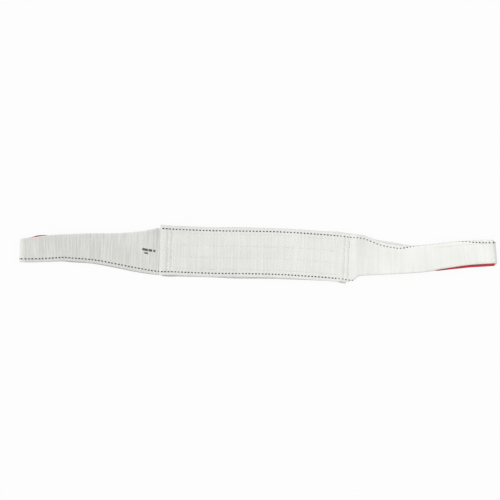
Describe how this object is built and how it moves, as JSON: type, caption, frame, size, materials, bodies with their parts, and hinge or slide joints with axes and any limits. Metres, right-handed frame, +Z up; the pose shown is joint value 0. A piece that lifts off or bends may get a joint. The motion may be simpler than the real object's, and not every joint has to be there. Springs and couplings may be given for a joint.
{
  "type": "flat web sling",
  "caption": "Flat woven lifting sling: a three-ply sewn body with a folded, lined eye at each end; body bends and eyes swing and open.",
  "frame": {"origin": "centre of the sewn body's underside, with the sling lying flat and straight", "axes": "+X along the sling towards the right eye, +Y across the webbing, +Z up"},
  "size_m": [0.98, 0.102, 0.029],
  "materials": {
    "white_webbing": "woven polyester, matt with a slight sheen",
    "red_lining": "woven polyester wear lining",
    "sewing_thread": "twisted polyester thread"
  },
  "bodies": {
    "body_left_outer": {"bottom_ply_left_outer": "white_webbing", "middle_ply_left_outer": "white_webbing", "top_ply_left_outer": "white_webbing", "body_stitches_left_outer": "sewing_thread", "end_stitches_left": "sewing_thread"},
    "body_left_inner": {"bottom_ply_left_inner": "white_webbing", "middle_ply_left_inner": "white_webbing", "top_ply_left_inner": "white_webbing", "body_stitches_left_inner": "sewing_thread"},
    "body_center": {"bottom_ply_center": "white_webbing", "middle_ply_center": "white_webbing", "top_ply_center": "white_webbing", "body_stitches_center": "sewing_thread"},
    "body_right_inner": {"bottom_ply_right_inner": "white_webbing", "middle_ply_right_inner": "white_webbing", "top_ply_right_inner": "white_webbing", "body_stitches_right_inner": "sewing_thread"},
    "body_right_outer": {"bottom_ply_right_outer": "white_webbing", "middle_ply_right_outer": "white_webbing", "top_ply_right_outer": "white_webbing", "body_stitches_right_outer": "sewing_thread", "end_stitches_right": "sewing_thread"},
    "left_throat": {"left_throat_upper_web": "white_webbing", "left_throat_lower_web": "white_webbing"},
    "left_upper_inner": {"left_upper_inner_leg": "white_webbing"},
    "left_upper_outer": {"left_upper_outer_leg": "white_webbing", "left_lining_upper": "red_lining", "left_lining_stitches_upper": "sewing_thread"},
    "left_lower_inner": {"left_lower_inner_leg": "white_webbing"},
    "left_lower_outer": {"left_lower_bight": "white_webbing", "left_lining_lower_bight": "red_lining", "left_lining_stitches_lower_bight": "sewing_thread"},
    "left_upper_tip": {"left_upper_bight": "white_webbing", "left_lining_upper_bight": "red_lining", "left_lining_stitches_upper_bight": "sewing_thread"},
    "right_throat": {"right_throat_upper_web": "white_webbing", "right_throat_lower_web": "white_webbing"},
    "right_upper_inner": {"right_upper_inner_leg": "white_webbing"},
    "right_upper_outer": {"right_upper_outer_leg": "white_webbing", "right_lining_upper": "red_lining", "right_lining_stitches_upper": "sewing_thread"},
    "right_lower_inner": {"right_lower_inner_leg": "white_webbing"},
    "right_lower_outer": {"right_lower_bight": "white_webbing", "right_lining_lower_bight": "red_lining", "right_lining_stitches_lower_bight": "sewing_thread"},
    "right_upper_tip": {"right_upper_bight": "white_webbing", "right_lining_upper_bight": "red_lining", "right_lining_stitches_upper_bight": "sewing_thread"}
  },
  "joints": [
    {"name": "left_inner_flex", "type": "hinge", "parent": "body_center", "child": "body_left_inner", "pos_m": [-0.04, 0, 0.0045], "axis": [0, 1, 0], "range_deg": [-30, 30], "stiffness_Nm_per_rad": 0.3},
    {"name": "left_outer_flex", "type": "hinge", "parent": "body_left_inner", "child": "body_left_outer", "pos_m": [-0.12, 0, 0.0045], "axis": [0, 1, 0], "range_deg": [-30, 30], "stiffness_Nm_per_rad": 0.3},
    {"name": "right_inner_flex", "type": "hinge", "parent": "body_center", "child": "body_right_inner", "pos_m": [0.04, 0, 0.0045], "axis": [0, -1, 0], "range_deg": [-30, 30], "stiffness_Nm_per_rad": 0.3},
    {"name": "right_outer_flex", "type": "hinge", "parent": "body_right_inner", "child": "body_right_outer", "pos_m": [0.12, 0, 0.0045], "axis": [0, -1, 0], "range_deg": [-30, 30], "stiffness_Nm_per_rad": 0.3},
    {"name": "left_eye_swing", "type": "hinge", "parent": "body_left_outer", "child": "left_throat", "pos_m": [-0.2025, 0, 0.0045], "axis": [0, 1, 0], "range_deg": [-45, 45], "stiffness_Nm_per_rad": 0.15},
    {"name": "left_eye_open", "type": "hinge", "parent": "left_throat", "child": "left_upper_inner", "pos_m": [-0.245, 0, 0.0065], "axis": [0, 1, 0], "range_deg": [0, 25], "stiffness_Nm_per_rad": 0.05},
    {"name": "left_lower_leg_open", "type": "hinge", "parent": "left_throat", "child": "left_lower_inner", "pos_m": [-0.245, 0, 0.0065], "axis": [0, 1, 0], "range_deg": [-25, 0]},
    {"name": "left_upper_leg_bend", "type": "hinge", "parent": "left_upper_inner", "child": "left_upper_outer", "pos_m": [-0.36737, 0, 0.0145], "axis": [0, 1, 0], "range_deg": [-50, 0]},
    {"name": "left_lower_leg_bend", "type": "hinge", "parent": "left_lower_inner", "child": "left_lower_outer", "pos_m": [-0.36763, 0, 0.0065], "axis": [0, 1, 0], "range_deg": [0, 50]},
    {"name": "left_bight_bend", "type": "hinge", "parent": "left_lower_outer", "child": "left_upper_tip", "pos_m": [-0.49, 0, 0.0145], "axis": [0, 1, 0], "range_deg": [-50, 0]},
    {"name": "right_eye_swing", "type": "hinge", "parent": "body_right_outer", "child": "right_throat", "pos_m": [0.2025, 0, 0.0045], "axis": [0, -1, 0], "range_deg": [-45, 45], "stiffness_Nm_per_rad": 0.15},
    {"name": "right_eye_open", "type": "hinge", "parent": "right_throat", "child": "right_upper_inner", "pos_m": [0.245, 0, 0.0065], "axis": [0, -1, 0], "range_deg": [0, 25], "stiffness_Nm_per_rad": 0.05},
    {"name": "right_lower_leg_open", "type": "hinge", "parent": "right_throat", "child": "right_lower_inner", "pos_m": [0.245, 0, 0.0065], "axis": [0, -1, 0], "range_deg": [-25, 0]},
    {"name": "right_upper_leg_bend", "type": "hinge", "parent": "right_upper_inner", "child": "right_upper_outer", "pos_m": [0.36737, 0, 0.0145], "axis": [0, -1, 0], "range_deg": [-50, 0]},
    {"name": "right_lower_leg_bend", "type": "hinge", "parent": "right_lower_inner", "child": "right_lower_outer", "pos_m": [0.36763, 0, 0.0065], "axis": [0, -1, 0], "range_deg": [0, 50]},
    {"name": "right_bight_bend", "type": "hinge", "parent": "right_lower_outer", "child": "right_upper_tip", "pos_m": [0.49, 0, 0.0145], "axis": [0, -1, 0], "range_deg": [-50, 0]}
  ],
  "couplings": [
    {"joint": "left_lower_leg_open", "follows": "left_eye_open", "ratio": -1},
    {"joint": "left_upper_leg_bend", "follows": "left_eye_open", "ratio": -2},
    {"joint": "left_lower_leg_bend", "follows": "left_eye_open", "ratio": 2},
    {"joint": "left_bight_bend", "follows": "left_eye_open", "ratio": -2},
    {"joint": "right_lower_leg_open", "follows": "right_eye_open", "ratio": -1},
    {"joint": "right_upper_leg_bend", "follows": "right_eye_open", "ratio": -2},
    {"joint": "right_lower_leg_bend", "follows": "right_eye_open", "ratio": 2},
    {"joint": "right_bight_bend", "follows": "right_eye_open", "ratio": -2}
  ]
}
